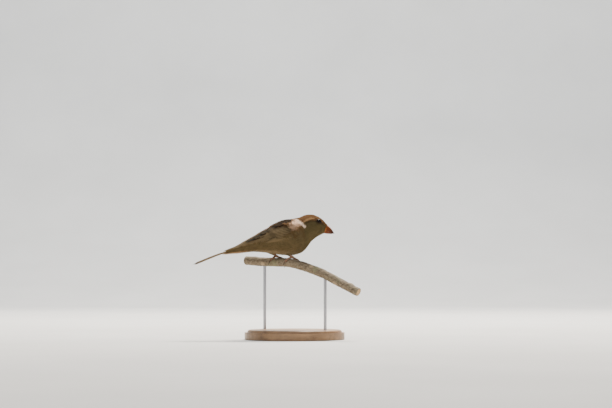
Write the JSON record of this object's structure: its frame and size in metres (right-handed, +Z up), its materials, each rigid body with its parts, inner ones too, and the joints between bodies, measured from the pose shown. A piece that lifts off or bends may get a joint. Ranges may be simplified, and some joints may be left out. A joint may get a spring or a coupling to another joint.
{
  "type": "house sparrow model",
  "caption": "Still life-size model of a female house sparrow that leans forward on a cut branch, held by two short rods on a plain round base.",
  "frame": {"origin": "centre of the stand's flat underside, on the surface that it stands on", "axes": "+Z up, +X the way the bird's head looks, +Y to the head's left"},
  "size_m": [0.1553, 0.092, 0.1154],
  "materials": {
    "plumage_head": "fine short feathers, brown crown, buff brow streak, grey-brown cheek",
    "plumage_body": "soft feathers, streaked brown above and plain buff-brown below",
    "plumage_wing": "dark brown vanes with buff and rufous edges and a pale bar",
    "plumage_tail": "dark brown vanes with narrow pale edges",
    "bill": "smooth horn, orange-brown with a dark ridge and tip",
    "eye": "dark polished glass",
    "leg": "scaled skin, pinkish brown",
    "claw": "dark brown horn",
    "bark": "grey-brown bark with pale cut ends",
    "stand_wood": "turned and oiled wood",
    "stand_steel": "brushed"
  },
  "bodies": {
    "root": {"head": "plumage_head", "neck": "plumage_body", "trunk": "plumage_body", "tail": "plumage_tail", "wing_left": "plumage_wing", "wing_right": "plumage_wing", "bill_upper": "bill", "bill_lower": "bill", "eye_left": "eye", "eye_right": "eye", "leg_left": "leg", "leg_right": "leg", "claw_left_inner": "claw", "claw_left_middle": "claw", "claw_left_outer": "claw", "claw_left_hind": "claw", "claw_right_inner": "claw", "claw_right_middle": "claw", "claw_right_outer": "claw", "claw_right_hind": "claw", "perch_branch": "bark", "stand_base": "stand_wood", "stand_rod_1": "stand_steel", "stand_rod_2": "stand_steel"}
  },
  "joints": []
}
